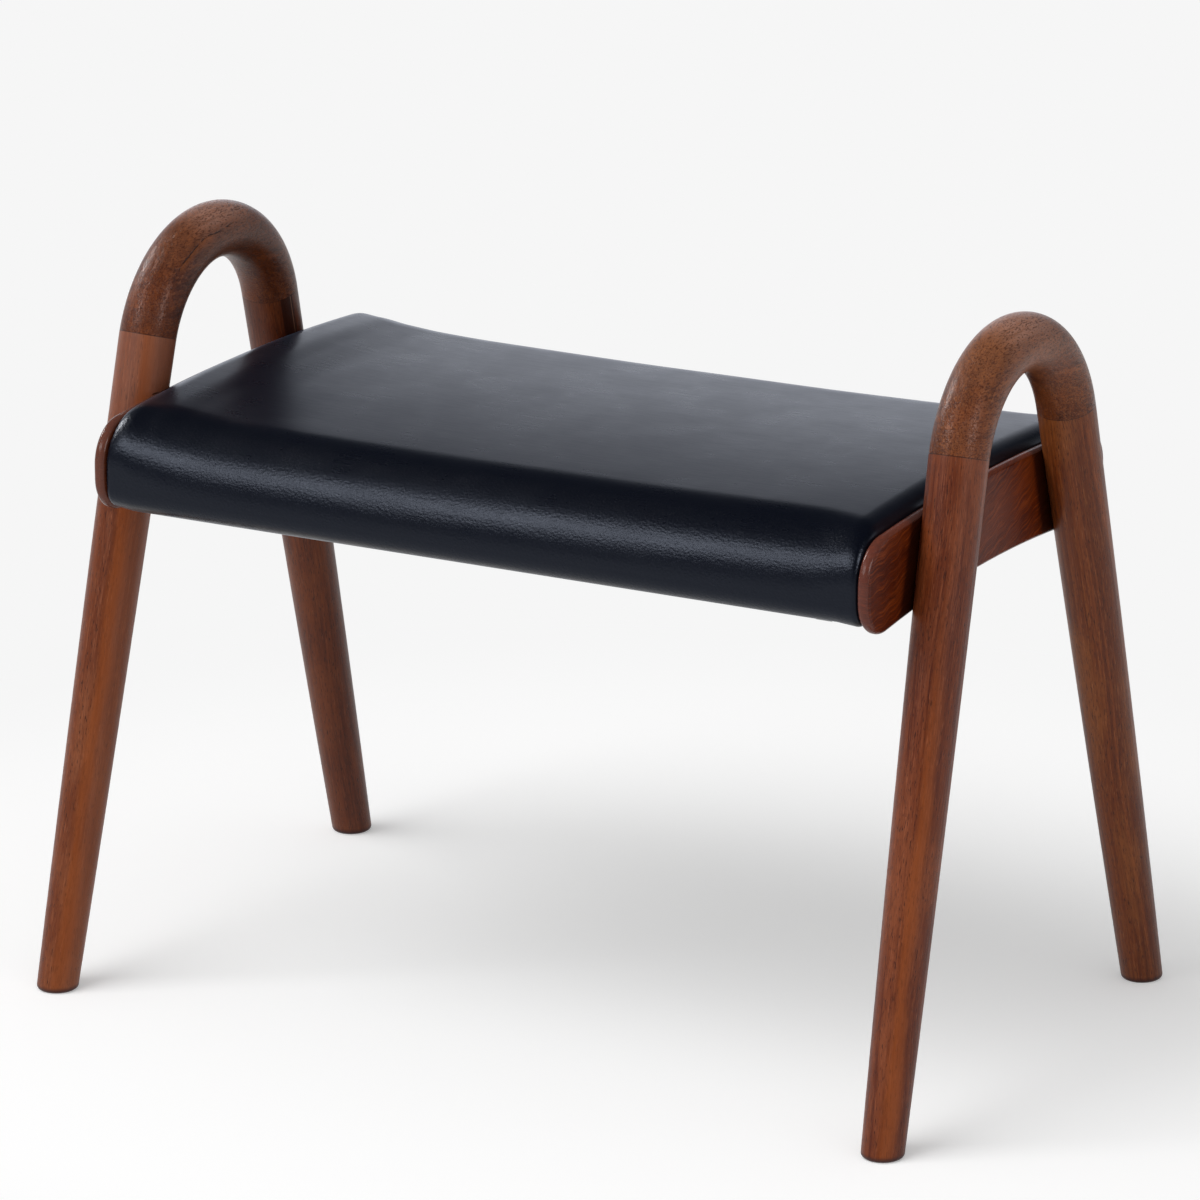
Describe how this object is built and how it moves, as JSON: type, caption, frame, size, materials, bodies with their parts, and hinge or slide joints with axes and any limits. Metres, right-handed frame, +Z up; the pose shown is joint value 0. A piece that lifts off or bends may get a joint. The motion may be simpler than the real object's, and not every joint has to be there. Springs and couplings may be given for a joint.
{
  "type": "upholstered stool",
  "caption": "Low rectangular wooden stool with a black leather seat between two round-section end frames that rise into hoop handles; stands on splayed tapered legs.",
  "frame": {"origin": "on the floor, under the middle of the seat", "axes": "+X along the seat's length to the right handle, +Y to the back, +Z up"},
  "size_m": [0.5844, 0.3616, 0.45],
  "materials": {
    "arch_teak": "satin",
    "leg_teak": "satin",
    "rail_teak": "satin",
    "beech": "matte",
    "plywood": "matte",
    "foam": "matte",
    "black_leather": "satin",
    "black_cloth": "matte",
    "screw_steel": "satin",
    "staple_steel": "satin"
  },
  "bodies": {
    "root": {"cover_staples": "staple_steel", "dust_cover": "black_cloth", "dust_cover_staples": "staple_steel", "foam_pad": "foam", "leather_cover": "black_leather", "left_back_corner_block": "beech", "left_back_handle_dowel": "beech", "left_back_leg": "leg_teak", "left_front_corner_block": "beech", "left_front_handle_dowel": "beech", "left_front_leg": "leg_teak", "left_handle_arch": "arch_teak", "left_rail_screws": "screw_steel", "left_seat_screws": "screw_steel", "left_side_rail": "rail_teak", "right_back_corner_block": "beech", "right_back_handle_dowel": "beech", "right_back_leg": "leg_teak", "right_front_corner_block": "beech", "right_front_handle_dowel": "beech", "right_front_leg": "leg_teak", "right_handle_arch": "arch_teak", "right_rail_screws": "screw_steel", "right_seat_screws": "screw_steel", "right_side_rail": "rail_teak", "seat_back_bar": "beech", "seat_frame_dowels": "beech", "seat_front_bar": "beech", "seat_left_batten": "beech", "seat_panel": "plywood", "seat_panel_screws": "screw_steel", "seat_right_batten": "beech"}
  },
  "joints": []
}
